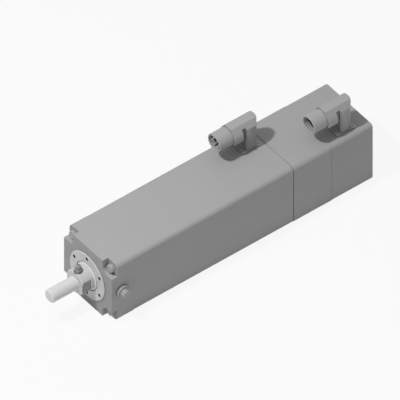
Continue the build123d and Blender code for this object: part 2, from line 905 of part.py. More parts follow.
def make_socket_barrel(length):
    mouth = arm_front + length
    ring = turned(
        (arm_front, barrel_bore / 2),
        (arm_front, barrel_diameter / 2),
        (mouth - barrel_edge, barrel_diameter / 2),
        (mouth, barrel_diameter / 2 - barrel_edge),
        (mouth, barrel_bore / 2 + barrel_edge),
        (mouth - barrel_edge, barrel_bore / 2),
    )
    return Pos(0, 0, barrel_axis) * ring


def make_socket_insert(front, pin, circle, count):
    rear = arm_front - insert_tail
    body = level_tube(front, arm_front, barrel_bore) + level_tube(arm_front, rear, arm_bore)
    for y, z in ring_places(count, circle):
        body -= rod_x(front, rear, pin, y, z + barrel_axis)
    return body


def make_socket_pins(tip, pin, circle, count):
    rear = arm_front - insert_tail - pin
    one = turned((rear, 0), (rear, pin / 2), (tip - pin / 4, pin / 2), (tip, pin / 4), (tip, 0))
    return group([Pos(0, y, z + barrel_axis) * one for y, z in ring_places(count, circle)])


def make_socket(x, y, barrel_length, insert_setback, pin_setback, pins):
    """All the pieces of one socket, by name, placed on the top of the body."""
    mouth = arm_front + barrel_length
    made = {
        "gasket": make_socket_gasket(),
        "base": make_socket_base(),
        "screws": make_socket_screws(),
        "elbow": make_socket_elbow(),
        "barrel": make_socket_barrel(barrel_length),
        "insert": make_socket_insert(mouth - insert_setback, *pins),
        "pins": make_socket_pins(mouth - pin_setback, *pins),
    }
    return {name: Pos(x, y, half_body) * shape for name, shape in made.items()}


def make_sockets():
    """The power socket on the motor and the signal socket on the rear cover."""
    power = make_socket(
        power_socket_at,
        -socket_side,
        power_barrel_length,
        power_insert_setback,
        power_pin_setback,
        (power_pin, power_pin_circle, power_pin_count),
    )
    signal = make_socket(
        signal_socket_at,
        socket_side,
        signal_barrel_length,
        signal_insert_setback,
        signal_pin_setback,
        (signal_pin, signal_pin_circle, signal_pin_count),
    )
    pieces = {f"power_socket_{name}": shape for name, shape in power.items()}
    pieces.update({f"signal_socket_{name}": shape for name, shape in signal.items()})
    return pieces


def make_pieces():
    front_outer, front_inner, front_balls = ball_bearing(
        bearing_seat,
        front_bearing_width,
        front_bearing_bore,
        front_bearing_outside,
        front_ball,
        front_ball_count,
        1,
    )
    main_outer, main_inner, main_balls = ball_bearing(
        rotor_hub_rear,
        main_bearing_width,
        main_bearing_bore,
        main_bearing_outside,
        main_ball,
        main_ball_count,
        2,
    )
    pieces = {
        "front_flange": make_front_flange(),
        "stator_housing": make_stator_housing(),
        "housing_gasket": make_housing_gasket(),
        "brake_housing": make_brake_housing(),
        "rear_cover": make_rear_cover(),
        "flange_screws": make_flange_screws(),
        "rear_tie_screws": make_tie_screws(),
        "front_o_ring": make_front_o_ring(),
        "rod_guide_cover": make_rod_guide_cover(),
        "wiper_ring": make_wiper_ring(),
        "rod_seal": make_rod_seal(),
        "guide_bush": make_guide_bush(),
        "front_bumper": make_front_bumper(),
        "front_bearing_outer": front_outer,
        "front_bearing_inner": front_inner,
        "front_bearing_balls": front_balls,
        "stator_core": make_stator_core(),
        "stator_coils": make_stator_coils(),
        "bearing_shield": make_bearing_shield(),
        "main_bearing_outer": main_outer,
        "main_bearing_inner": main_inner,
        "main_bearing_balls": main_balls,
        "bearing_retainer": make_bearing_retainer(),
        "retainer_screws": make_retainer_screws(),
        "bearing_lock_nut": make_bearing_lock_nut(),
        "brake_plate": make_brake_plate(),
        "brake_coil_body": make_brake_coil_body(),
        "brake_coil": make_brake_coil(),
        "brake_springs": make_brake_springs(),
        "brake_armature": make_brake_armature(),
        "brake_friction_disc": make_friction_disc(),
        "brake_hub": make_brake_hub(),
        "brake_screws": make_brake_screws(),
        "sensor_stator": make_sensor_stator(),
        "sensor_rotor": make_sensor_rotor(),
        "breather_fitting": make_breather_fitting(),
        "breather_seal": make_breather_seal(),
        "piston_rod": make_piston_rod(),
        "grease_nipple": make_grease_nipple(),
        "ball_nut": make_ball_nut(),
        "rotor_sleeve": make_rotor_sleeve(),
        "rotor_magnets": make_rotor_magnets(),
        "screw_spindle": make_screw_spindle(),
        "rear_bumper": make_rear_bumper(),
    }
    pieces.update(make_sockets())
    return pieces


os.makedirs("parts", exist_ok=True)
for node, shape in make_pieces().items():
    export_step(shape, f"parts/{node}.step")
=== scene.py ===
import bmesh
import bpy
import json
import math
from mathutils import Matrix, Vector


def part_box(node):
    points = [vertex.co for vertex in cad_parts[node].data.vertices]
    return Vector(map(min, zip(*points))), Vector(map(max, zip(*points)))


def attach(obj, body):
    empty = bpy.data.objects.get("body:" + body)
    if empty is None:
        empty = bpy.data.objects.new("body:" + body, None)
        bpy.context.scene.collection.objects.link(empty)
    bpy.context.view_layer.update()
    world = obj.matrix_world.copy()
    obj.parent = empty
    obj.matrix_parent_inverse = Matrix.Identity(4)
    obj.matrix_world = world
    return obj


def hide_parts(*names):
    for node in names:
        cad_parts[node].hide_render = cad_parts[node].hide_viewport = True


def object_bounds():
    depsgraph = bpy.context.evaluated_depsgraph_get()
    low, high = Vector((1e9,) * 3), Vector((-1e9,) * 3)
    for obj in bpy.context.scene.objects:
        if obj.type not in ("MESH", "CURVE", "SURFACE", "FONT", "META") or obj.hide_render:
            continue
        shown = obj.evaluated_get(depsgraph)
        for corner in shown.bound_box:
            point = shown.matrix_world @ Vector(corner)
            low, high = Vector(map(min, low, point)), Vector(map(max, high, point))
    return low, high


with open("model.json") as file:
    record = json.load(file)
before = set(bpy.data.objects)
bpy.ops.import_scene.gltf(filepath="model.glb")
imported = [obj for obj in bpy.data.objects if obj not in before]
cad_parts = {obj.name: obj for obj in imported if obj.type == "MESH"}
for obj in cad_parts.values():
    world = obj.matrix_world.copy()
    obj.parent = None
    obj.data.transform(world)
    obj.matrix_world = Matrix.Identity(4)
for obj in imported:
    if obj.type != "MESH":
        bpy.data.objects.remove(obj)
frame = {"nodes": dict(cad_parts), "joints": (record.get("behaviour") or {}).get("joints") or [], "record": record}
cad_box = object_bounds()

MM = 0.001

# The photograph is a parallel view from the front right, 400 pixels wide
PHOTO_CENTRE = Vector((-164.8, -15.8, 0.0)) * MM
PHOTO_AZIMUTH = math.radians(38.15)
PHOTO_ELEVATION = math.radians(44.74)
PHOTO_WIDTH = 400 / 0.9355 * MM
CAMERA_DISTANCE = 2.0
BACKGROUND = 0.965

# Sharp edges of the pieces are broken this much, and those of cast pieces are left as they are
MACHINED_EDGE = 0.2 * MM
FINE_EDGE = 0.12 * MM
CAST_EDGE = 0.0

# Angles in degrees: within the first one neighbours are one flat face, past the others an edge is sharp
FLAT_ANGLE = 0.5
SHADED_ANGLE = 38
BROKEN_ANGLE = 40

# Points this close are one, in a CAD mesh and in one whose points were moved
DOUBLE_GAP = 0.002 * MM
SLIVER_GAP = 0.01 * MM

# Noise of the surfaces: how fine it goes, and how broad its clouds are
FINE_DETAIL = 3.0
RING_DETAIL = 2.0
BROAD_DETAIL = 2.0
GRAIN_CLOUDS = 18.0
TURNED_CLOUDS = 60.0

SPECULAR_LEVEL = 0.25
BUMP_DISTANCE = 0.05 * MM

# The floor lies just under the cylinder and shows the background's white to the camera
FLOOR_GAP = 0.3 * MM
FLOOR_REACH = 6.0
FLOOR_GREY = 0.84
FLOOR_GLOW = 1.015
FLOOR_GLOW_SHARE = 0.92
WORLD_LIGHT = 0.27


# Shader node groups
def new_group(name, inputs, outputs):
    """Empty shader group with its sockets, and its input and output nodes."""
    group = bpy.data.node_groups.new(name, "ShaderNodeTree")
    for label, kind, value in inputs:
        socket = group.interface.new_socket(label, in_out="INPUT", socket_type=kind)
        if value is not None:
            socket.default_value = value
    for label, kind in outputs:
        group.interface.new_socket(label, in_out="OUTPUT", socket_type=kind)
    return group, group.nodes.new("NodeGroupInput"), group.nodes.new("NodeGroupOutput")


def value_node(tree, operation, first, second):
    """Math node whose two inputs are sockets or numbers."""
    node = tree.nodes.new("ShaderNodeMath")
    node.operation = operation
    for socket, source in zip(node.inputs, (first, second)):
        if isinstance(source, (int, float)):
            socket.default_value = source
        else:
            tree.links.new(source, socket)
    return node.outputs[0]


def noise_node(tree, position, scale, detail):
    """Noise texture's value at a position, with the scale from a socket or a number."""
    node = tree.nodes.new("ShaderNodeTexNoise")
    node.inputs["Detail"].default_value = detail
    tree.links.new(position, node.inputs["Vector"])
    if isinstance(scale, (int, float)):
        node.inputs["Scale"].default_value = scale
    else:
        tree.links.new(scale, node.inputs["Scale"])
    return node.outputs["Fac"]


def tinted(tree, color, factor):
    """Colour made lighter or darker by a factor."""
    node = tree.nodes.new("ShaderNodeVectorMath")
    node.operation = "SCALE"
    tree.links.new(color, node.inputs[0])
    tree.links.new(factor, node.inputs["Scale"])
    return node.outputs["Vector"]


def surface_outputs(tree, given, out, fine, broad):
    """Colour, roughness and height of a surface from its fine and its broad pattern."""
    fine_part = value_node(tree, "SUBTRACT", fine, 0.5)
    broad_part = value_node(tree, "SUBTRACT", broad, 0.5)
    both = value_node(tree, "ADD", fine_part, broad_part)
    change = value_node(tree, "MULTIPLY", both, given.outputs["Spread"])
    factor = value_node(tree, "ADD", change, 1.0)
    tree.links.new(tinted(tree, given.outputs["Color"], factor), out.inputs["Color"])
    rough = value_node(tree, "ADD", change, given.outputs["Roughness"])
    tree.links.new(rough, out.inputs["Roughness"])
    tree.links.new(fine, out.inputs["Height"])


SURFACE_INPUTS = [
    ("Position", "NodeSocketVector", None),
    ("Color", "NodeSocketColor", (0.5, 0.5, 0.5, 1.0)),
    ("Roughness", "NodeSocketFloat", 0.5),
    ("Spread", "NodeSocketFloat", 0.1),
    ("Scale", "NodeSocketFloat", 2000.0),
]
SURFACE_OUTPUTS = [
    ("Color", "NodeSocketColor"),
    ("Roughness", "NodeSocketFloat"),
    ("Height", "NodeSocketFloat"),
]


def make_grain_group():
    """Even fine grain with faint clouds, as on a blasted, anodised or moulded surface."""
    tree, given, out = new_group("grain", SURFACE_INPUTS, SURFACE_OUTPUTS)
    position = given.outputs["Position"]
    fine = noise_node(tree, position, given.outputs["Scale"], FINE_DETAIL)
    broad = noise_node(tree, position, GRAIN_CLOUDS, BROAD_DETAIL)
    surface_outputs(tree, given, out, fine, broad)
    return tree


def make_turned_group():
    """Fine rings about the X axis, as a lathe or a grinding wheel leaves them."""
    tree, given, out = new_group("turned", SURFACE_INPUTS, SURFACE_OUTPUTS)
    position = given.outputs["Position"]
    split = tree.nodes.new("ShaderNodeSeparateXYZ")
    tree.links.new(position, split.inputs[0])
    squares = [value_node(tree, "MULTIPLY", split.outputs[i], split.outputs[i]) for i in (1, 2)]
    radius = value_node(tree, "SQRT", value_node(tree, "ADD", *squares), 0.0)
    rings = tree.nodes.new("ShaderNodeCombineXYZ")
    tree.links.new(split.outputs[0], rings.inputs[0])
    tree.links.new(radius, rings.inputs[1])
    fine = noise_node(tree, rings.outputs[0], given.outputs["Scale"], RING_DETAIL)
    broad = noise_node(tree, position, TURNED_CLOUDS, BROAD_DETAIL)
    surface_outputs(tree, given, out, fine, broad)
    return tree


GROUPS = {"grain": make_grain_group(), "turned": make_turned_group()}


# Surface finishes
def make_finish(name, color, metallic, roughness, pattern="grain", scale=2500.0, spread=0.1, relief=0.1):
    """Material of one surface finish.

    The pattern is finer with a higher scale. spread is how much it changes the colour and the roughness,
    and relief is how strongly it shows as bumps.
    """
    material = bpy.data.materials.new(name)
    material.use_nodes = True
    tree = material.node_tree
    shader = tree.nodes["Principled BSDF"]
    shader.inputs["Metallic"].default_value = metallic
    shader.inputs["Specular IOR Level"].default_value = SPECULAR_LEVEL
    surface = tree.nodes.new("ShaderNodeGroup")
    surface.node_tree = GROUPS[pattern]
    surface.inputs["Color"].default_value = (*color, 1.0)
    surface.inputs["Roughness"].default_value = roughness
    surface.inputs["Spread"].default_value = spread
    surface.inputs["Scale"].default_value = scale
    coordinates = tree.nodes.new("ShaderNodeTexCoord")
    tree.links.new(coordinates.outputs["Object"], surface.inputs["Position"])
    bump = tree.nodes.new("ShaderNodeBump")
    bump.inputs["Strength"].default_value = relief
    bump.inputs["Distance"].default_value = BUMP_DISTANCE
    tree.links.new(surface.outputs["Height"], bump.inputs["Height"])
    tree.links.new(surface.outputs["Color"], shader.inputs["Base Color"])
    tree.links.new(surface.outputs["Roughness"], shader.inputs["Roughness"])
    tree.links.new(bump.outputs["Normal"], shader.inputs["Normal"])
    return material


def grey(value):
    return (value, value, value)


def anodised(name, shade):
    """Blasted and anodised aluminium."""
    return make_finish(name, grey(shade), 0.0, 0.60, spread=0.07)


def plated_socket(name, shade):
    """Matt plating of the sockets."""
    return make_finish(name, grey(shade), 0.05, 0.48, scale=3500.0, spread=0.07)


def ground_rod(name, shade):
    """Hard chrome with the fine rings of grinding."""
    return make_finish(name, grey(shade), 0.05, 0.42, "turned", 7000.0, 0.06, 0.06)


def rubber(name, shade):
    return make_finish(name, grey(shade), 0.0, 0.62, scale=3500.0, spread=0.25, relief=0.3)


# Finish of each material slot: name, colour, metallic, roughness, and how its pattern looks
FINISHES = {
    "housing_aluminium": anodised("housing_anodised", 0.41),
    "flange_aluminium": anodised("flange_anodised", 0.41),
    "guide_steel": make_finish("guide_turned", grey(0.62), 0.05, 0.45, "turned", 5000.0, 0.10, 0.15),
    "rod_chrome": ground_rod("rod_ground", 0.60),
    "seal_rubber": rubber("seal_rubber", 0.16),
    "wiper_plastic": make_finish("wiper_plastic", grey(0.78), 0.0, 0.45, scale=3000.0, spread=0.10),
    "bumper_elastomer": make_finish(
        "bumper_elastomer", (0.30, 0.30, 0.28), 0.0, 0.55, scale=3000.0, spread=0.15
    ),
    "bush_bronze": make_finish(
        "bush_bronze", (0.55, 0.36, 0.17), 0.9, 0.35, "turned", 6000.0, 0.12, 0.2
    ),
    "screw_steel": make_finish("screw_plated", grey(0.40), 0.10, 0.45, scale=4000.0, spread=0.15),
    "bearing_steel": make_finish(
        "bearing_ground", (0.60, 0.60, 0.61), 1.0, 0.20, "turned", 8000.0, 0.06, 0.1
    ),
    "ball_steel": make_finish(
        "ball_polished", (0.74, 0.74, 0.75), 1.0, 0.08, scale=1500.0, spread=0.03, relief=0.02
    ),
    "turned_steel": make_finish(
        "shaft_turned", (0.46, 0.46, 0.47), 1.0, 0.32, "turned", 5000.0, 0.10, 0.2
    ),
    "stator_sheets": make_finish(
        "stator_sheets", (0.26, 0.26, 0.27), 0.9, 0.45, "turned", 4000.0, 0.35, 0.5
    ),
    "coil_copper": make_finish(
        "coil_enamelled", (0.60, 0.27, 0.12), 0.8, 0.30, "turned", 1500.0, 0.25, 0.6
    ),
    "magnet_grey": make_finish(
        "magnet_plated", (0.38, 0.38, 0.40), 0.9, 0.28, scale=3000.0, spread=0.08
    ),
    "brake_iron": make_finish(
        "brake_blackened", grey(0.20), 0.6, 0.48, scale=2500.0, spread=0.20, relief=0.2
    ),
    "spring_steel": make_finish("spring_bright", grey(0.50), 1.0, 0.25, "turned", 6000.0, 0.10, 0.3),
    "friction_lining": make_finish(
        "friction_lining", (0.12, 0.11, 0.10), 0.0, 0.85, scale=1500.0, spread=0.6, relief=0.5
    ),
    "sensor_plastic": make_finish(
        "sensor_moulded", (0.05, 0.09, 0.07), 0.0, 0.50, scale=3000.0, spread=0.15
    ),
    "breather_steel": make_finish("breather_turned", grey(0.38), 0.10, 0.45, scale=4000.0, spread=0.10),
    "nipple_steel": make_finish("nipple_plated", grey(0.29), 0.10, 0.42, scale=4000.0, spread=0.12),
    "socket_metal": plated_socket("socket_plated", 0.42),
    "insert_plastic": make_finish("insert_moulded", grey(0.015), 0.0, 0.45, scale=3500.0, spread=0.2),
    "pin_brass": make_finish("pin_plated", (0.55, 0.55, 0.53), 0.3, 0.35, scale=4000.0, spread=0.08),
}

# Materials of single faces, holes and small pieces. Most are painted shade or painted light: darker greys stand in
# for shade in recesses, under the elbows' arms and on faces turned from the lamps, and lighter greys for light on
# upward faces
# Painted shade: the flange's front face is a darker grey than its other faces, for the weaker light on it
FLANGE_FRONT_SHADE = anodised("flange_front_painted_shade", 0.345)
JOINT_EDGE = anodised("joint_edge", 0.31)
# Painted light: the gasket's upward faces are a lighter grey than its sides, for the light from above
GASKET_TOP_LIGHT = rubber("gasket_top_painted_light", 0.31)
# Painted shade: the front face of each elbow's arm, round the barrel, is darker for the shade the barrel throws on
# it
ARM_FRONT_SHADE = plated_socket("arm_front_painted_shade", 0.24)
# Painted shade: each elbow's column below the arm is darker for the shade under the arm
COLUMN_SHADE = plated_socket("column_painted_shade", 0.33)
# Painted shade: the upright floors of the screw reliefs are dark for the shade inside these recesses
RELIEF_SHADE = plated_socket("relief_floor_painted_shade", 0.21)
# Painted shade: the sides of each socket's base plate are darker, as they lie in the elbow's shadow
BASE_SIDE_SHADE = plated_socket("base_side_painted_shade", 0.29)
# Painted shade: near black deep inside the signal socket's barrel
BARREL_SHADE = make_finish("barrel_depth_painted_shade", grey(0.03), 0.0, 0.60, scale=3500.0, spread=0.20)
# Painted shade: the signal socket's pins are a darker grey than the power socket's, for their place deep in the
# shaded barrel
SIGNAL_PIN_SHADE = make_finish("signal_pin_painted_shade", grey(0.20), 0.20, 0.40, scale=4000.0, spread=0.08)
# Painted shade: the guide cover's round side is dark, for the shade at its edge against the flange
COVER_SIDE_SHADE = make_finish("cover_side_painted_shade", grey(0.27), 0.0, 0.50, "turned", 5000.0, 0.10, 0.15)
# Painted shade: dark grey in the grease nipple's seat and on the wall of the guide cover's bore
RECESS_SHADE = make_finish("recess_painted_shade", grey(0.10), 0.0, 0.60, scale=4000.0, spread=0.15)
# Painted light: the upward faces of the socket screws are lighter than their other faces, so that the heads stand
# out in the shadow
SOCKET_SCREW_TOP_LIGHT = make_finish("socket_screw_top_painted_light", grey(0.58), 0.10, 0.45, scale=4000.0, spread=0.12)
# Painted shade: near black on the walls of the guide cover's tapped holes
HOLE_SHADE = make_finish("hole_painted_shade", grey(0.015), 0.0, 0.60, scale=4000.0, spread=0.20)
# Milled wrench flats: rougher than the ground rod, and darker in colour as painted shade
MILLED_FLAT_AND_SHADE = make_finish("rod_milled_and_painted_shade", grey(0.33), 0.0, 0.50, scale=4000.0, spread=0.08)
STUD_TURNED = ground_rod("stud_turned", 0.70)


# Pieces
SLOT_OF = {entry["node"]: entry["material_slot"] for entry in frame["record"]["subparts"]}
BODY_OF = {node: body for body, nodes in frame["record"]["behaviour"]["bodies"].items() for node in nodes}


def node_box(node):
    """Lowest and highest corner of a CAD node, in millimetres."""
    return [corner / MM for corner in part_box(node)]


def sharp_edges(mesh, degrees):
    limit = math.radians(degrees)
    return [e for e in mesh.edges if len(e.link_faces) == 2 and e.calc_face_angle(0.0) > limit]


def add_piece(name, mesh, body, slot, extra_finishes=()):
    """Turns a bmesh into a finished object that rides on a body."""
    for face in mesh.faces:
        face.smooth = True
    for edge in sharp_edges(mesh, SHADED_ANGLE):
        edge.smooth = False
    data = bpy.data.meshes.new(name)
    mesh.to_mesh(data)
    mesh.free()
    piece = bpy.data.objects.new(name, data)
    bpy.context.scene.collection.objects.link(piece)
    for finish in (FINISHES[slot], *extra_finishes):
        data.materials.append(finish)
    weighted = piece.modifiers.new("even_normals", "WEIGHTED_NORMAL")
    weighted.keep_sharp = True
    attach(piece, body)
    return piece


def machine_edges(node, edge, reshape=None, areas=(), cut=None):
    """Stands in for a CAD node with its sharp edges broken.

    reshape changes the merged copy first. Each area is a material and a test of a face's centre, in
    millimetres, and its normal; most of these materials are painted shade or painted light. cut is the place
    on X where a line round the piece parts its faces, so that an area can end there.
    """
    mesh = bmesh.new()
    mesh.from_mesh(frame["nodes"][node].data)
    bmesh.ops.remove_doubles(mesh, verts=mesh.verts, dist=DOUBLE_GAP)
    if reshape:
        reshape(mesh)
        bmesh.ops.remove_doubles(mesh, verts=mesh.verts, dist=SLIVER_GAP)
        bmesh.ops.dissolve_degenerate(mesh, dist=SLIVER_GAP, edges=mesh.edges)
        bmesh.ops.recalc_face_normals(mesh, faces=mesh.faces)
    bmesh.ops.dissolve_limit(
        mesh,
        angle_limit=math.radians(FLAT_ANGLE),
        verts=mesh.verts,
        edges=mesh.edges,
        use_dissolve_boundaries=False,
    )
    if edge:
        bmesh.ops.bevel(
            mesh,
            geom=sharp_edges(mesh, BROKEN_ANGLE),
            offset=edge,
            offset_type="OFFSET",
            affect="EDGES",
            segments=2,
            profile=0.5,
            clamp_overlap=True,
            material=-1,
        )
    if cut is not None:
        geometry = [*mesh.verts, *mesh.edges, *mesh.faces]
        bmesh.ops.bisect_plane(mesh, geom=geometry, plane_co=(cut * MM, 0, 0), plane_no=(1, 0, 0))
    for index, (finish, covers) in enumerate(areas, 1):
        for face in mesh.faces:
            if covers(face.calc_center_median() / MM, face.normal):
                face.material_index = index
    finishes = [finish for finish, _ in areas]
    piece = add_piece(f"{node}_finished", mesh, BODY_OF[node], SLOT_OF[node], finishes)
    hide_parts(node)


# Share of a face's normal that lies along a direction, from a face square to it to one well clear of it
SQUARE = 0.99
FACING = 0.9
LEANING = 0.6
PASSING = 0.5
CLEAR = 0.3

# Millimetres by which a point may miss the surface that it belongs to, at a sharp place and round a curve
TOUCH = 0.05
FACET_SAG = 0.3


def faces_front(centre, normal):
    return normal.x > FACING


def faces_up(centre, normal):
    return normal.z > LEANING


def faces_aside(centre, normal):
    return abs(normal.z) < PASSING


def everywhere(centre, normal):
    return True


# Each solid of the CAD has its slot's finish, also where it stays in sight
for node, solid in frame["nodes"].items():
    solid.data.materials.clear()
    solid.data.materials.append(FINISHES[SLOT_OF[node]])

# Housings, with sizes and places in millimetres as for all pieces below
TOP = node_box("stator_housing")[1].z
COVER_JOINT = node_box("rear_cover")[1].x
JOINT_LINE = 1.1
GASKET_TOP_BAND = 1.0
GASKET_RISE = 0.75


def raise_gasket(mesh):
    """Lets the gasket stand nearly flush on the top."""
    for vertex in mesh.verts:
        if vertex.co.z > (TOP - GASKET_TOP_BAND) * MM:
            vertex.co.z += GASKET_RISE * MM


def is_cover_joint(centre, normal):
    """Sides of the brake housing, but not its top, along the joint with the rear cover."""
    return COVER_JOINT - TOUCH < centre.x < COVER_JOINT + JOINT_LINE and abs(normal.z) < LEANING


joint_areas = [(JOINT_EDGE, is_cover_joint)]
# The flange's front face gets the darker grey of painted shade
machine_edges("front_flange", MACHINED_EDGE, areas=[(FLANGE_FRONT_SHADE, faces_front)])
machine_edges("stator_housing", MACHINED_EDGE)
# The gasket's upward faces get the lighter grey of painted light
machine_edges("housing_gasket", FINE_EDGE, raise_gasket, [(GASKET_TOP_LIGHT, faces_up)])
machine_edges("brake_housing", MACHINED_EDGE, areas=joint_areas, cut=COVER_JOINT + JOINT_LINE)
machine_edges("rear_cover", MACHINED_EDGE)

# Small pieces with nothing but finely broken edges
SOCKETS = ["power", "signal"]
INSERTS = [f"{socket}_socket_insert" for socket in SOCKETS]
for node in ["rear_tie_screws", "wiper_ring", "grease_nipple", "breather_fitting", *INSERTS]:
    machine_edges(node, FINE_EDGE)

# The signal socket's barrel, with painted shade, a near black, on its bore deeper than 7.2 mm behind the mouth
BARREL_LOW, BARREL_HIGH = node_box("signal_socket_barrel")
BARREL_AXIS = (BARREL_LOW + BARREL_HIGH) / 2
BARREL_RADIUS = 9.0
BARREL_LIT_TO = BARREL_HIGH.x - 7.2

# Elbows and bases: heights above the top of the housings, and sizes about an elbow's upright axis
JOINTS = {joint["name"]: joint for joint in frame["joints"]}
ARM_DROP = 1.3
ARM_AXIS = BARREL_AXIS.z - TOP - ARM_DROP
ARM_RADIUS = 12.5
COLUMN_RADIUS = 12.0
COLUMN_BORE = 9.3
COLUMN_FRONT = 6.7
COLUMN_WALL = 0.5
COLUMN_TOP = ARM_AXIS - 8.0
RELIEF_FLOOR_SIDE = 8.8
BASE_TOP = 1.8
TUBE_SHARE = 0.64


def flatten_column(x, y):
    """Cuts the front of an elbow's column flat, in line with the rear walls of its reliefs."""

    def reshape(mesh):
        for vertex in mesh.verts:
            dx, dy, height = vertex.co.x / MM - x, vertex.co.y / MM - y, vertex.co.z / MM - TOP
            reach = math.hypot(dx, dy)
            arm_underside = ARM_AXIS - math.sqrt(max(ARM_RADIUS**2 - dy**2, 0.0))
            outside = COLUMN_RADIUS - FACET_SAG < reach < COLUMN_RADIUS + TOUCH
            bored = reach < COLUMN_BORE and height < ARM_AXIS - ARM_RADIUS
            if dx > COLUMN_FRONT and outside and height < arm_underside + TOUCH:
                vertex.co.x = (x + COLUMN_FRONT) * MM
            elif dx > COLUMN_FRONT - COLUMN_WALL and bored:
                vertex.co.x = (x + COLUMN_FRONT - COLUMN_WALL) * MM

    return reshape


def slim_tube(x, y):
    """Draws a base's tube in so that it stays hidden behind the flat front of the column."""

    def reshape(mesh):
        for vertex in mesh.verts:
            if vertex.co.z / MM > TOP + BASE_TOP + TOUCH:
                vertex.co.x = x * MM + (vertex.co.x - x * MM) * TUBE_SHARE
                vertex.co.y = y * MM + (vertex.co.y - y * MM) * TUBE_SHARE

    return reshape


def is_column(x, y):
    """Round side and flat front of an elbow's column, below the arm, where shade is painted."""

    def covers(centre, normal):
        dx, dy = centre.x - x, centre.y - y
        ring = COLUMN_BORE < math.hypot(dx, dy) < COLUMN_RADIUS + FACET_SAG
        return ring and dx < COLUMN_FRONT + TOUCH and centre.z < TOP + COLUMN_TOP

    return covers


def is_relief_floor(x, y):
    """Upright floors of the two reliefs for the screws, where shade is painted."""

    def covers(centre, normal):
        dx, dy = centre.x - x, centre.y - y
        on_floor = abs(abs(dy) - RELIEF_FLOOR_SIDE) < TOUCH and abs(normal.y) > FACING
        return on_floor and COLUMN_FRONT < dx < COLUMN_RADIUS

    return covers


def is_barrel_depth(centre, normal):
    reach = math.hypot(centre.y - BARREL_AXIS.y, centre.z - BARREL_AXIS.z)
    return centre.x < BARREL_LIT_TO and reach < BARREL_RADIUS + FACET_SAG


for socket in SOCKETS:
    x, y = [place / MM for place in JOINTS[f"{socket}_swivel"]["pos_m"][:2]]
    # Painted shade on the column below the arm and on the floors of the screw reliefs
    column_areas = [(COLUMN_SHADE, is_column(x, y)), (RELIEF_SHADE, is_relief_floor(x, y))]
    # Painted shade on the front face of the arm round the barrel
    elbow_areas = [*column_areas, (ARM_FRONT_SHADE, faces_front)]
    machine_edges(f"{socket}_socket_elbow", CAST_EDGE, flatten_column(x, y), elbow_areas)
    # The socket screws' upward faces get painted light
    machine_edges(f"{socket}_socket_screws", FINE_EDGE, areas=[(SOCKET_SCREW_TOP_LIGHT, faces_up)])
    # The base plate's sides get painted shade
    machine_edges(f"{socket}_socket_base", FINE_EDGE, slim_tube(x, y), [(BASE_SIDE_SHADE, faces_aside)])
# Painted shade, near black, on the signal barrel's bore beyond BARREL_LIT_TO
barrel_areas = [(BARREL_SHADE, is_barrel_depth)]
machine_edges("power_socket_barrel", FINE_EDGE)
machine_edges("signal_socket_barrel", FINE_EDGE, areas=barrel_areas, cut=BARREL_LIT_TO)
machine_edges("power_socket_pins", FINE_EDGE)
# The signal socket's pins get painted shade all over
machine_edges("signal_socket_pins", CAST_EDGE, areas=[(SIGNAL_PIN_SHADE, everywhere)])

# Flange screws, whose slim heads have shallow sockets
HEAD_WIDTH = 13.0
HEAD_HEIGHT = 4.0
HEAD_FRONT = node_box("flange_screws")[1].x
HEAD_SEAT = HEAD_FRONT - HEAD_HEIGHT
SCREW_SIDE = node_box("flange_screws")[1].y - HEAD_WIDTH / 2
SLIM_WIDTH = 10.0
SHANK_REACH = 4.5
SHALLOW_SOCKET = 0.3


def slim_heads(mesh):
    """Draws the heads of the flange screws in, and makes their sockets shallow."""
    for vertex in mesh.verts:
        x, y, z = vertex.co / MM
        middle = Vector((math.copysign(SCREW_SIDE, y), math.copysign(SCREW_SIDE, z)))
        reach = Vector((y, z)) - middle
        if x > HEAD_SEAT - TOUCH and (reach.length > SHANK_REACH or x > HEAD_SEAT + TOUCH):
            vertex.co.y, vertex.co.z = (middle + reach * SLIM_WIDTH / HEAD_WIDTH) * MM
            if reach.length < SHANK_REACH and x < HEAD_FRONT - TOUCH:
                vertex.co.x = (HEAD_FRONT - SHALLOW_SOCKET) * MM


machine_edges("flange_screws", FINE_EDGE, slim_heads)

# Rod guide cover, with painted shade in dark grey on the walls of its bore, its tapped holes and its round side
GUIDE_FRONT = node_box("rod_guide_cover")[1].x
GUIDE_RADIUS = node_box("rod_guide_cover")[1].y
GUIDE_BORE = 18.0
GUIDE_EDGE = 1.0


def is_hole(centre, normal):
    reach = math.hypot(centre.y, centre.z)
    return centre.x < GUIDE_FRONT - FACET_SAG and GUIDE_BORE - FACET_SAG < reach < GUIDE_RADIUS - GUIDE_EDGE


def is_bore_wall(centre, normal):
    reach = math.hypot(centre.y, centre.z)
    return abs(reach - GUIDE_BORE) < FACET_SAG and abs(normal.x) < PASSING


def is_cover_side(centre, normal):
    return math.hypot(centre.y, centre.z) > GUIDE_RADIUS - FACET_SAG and abs(normal.x) < CLEAR


cover_areas = [(HOLE_SHADE, is_hole), (RECESS_SHADE, is_bore_wall), (COVER_SIDE_SHADE, is_cover_side)]
machine_edges("rod_guide_cover", FINE_EDGE, areas=cover_areas)

# Piston rod, with milled wrench flats darkened as painted shade, a turned stud in a lighter grey, and painted
# shade in the seat of the grease nipple
ROD_FRONT = node_box("piston_rod")[1].x
ROD_RADIUS = node_box("piston_rod")[1].y
STUD_FROM = ROD_FRONT - 35.0
STUD_RADIUS = 8.0
FLATS_FROM = STUD_FROM - 12.0
FLATS_SIDE = ROD_RADIUS - 2.0
SEAT_PLACE = STUD_FROM - 5.0
SEAT_RADIUS = 5.0
SEAT_DEEPEST = 8.0


def is_wrench_flat(centre, normal):
    return centre.x > FLATS_FROM - TOUCH and abs(centre.y) > FLATS_SIDE - TOUCH and abs(normal.y) > SQUARE


def is_stud(centre, normal):
    return centre.x > STUD_FROM + TOUCH and math.hypot(centre.y, centre.z) < STUD_RADIUS + TOUCH


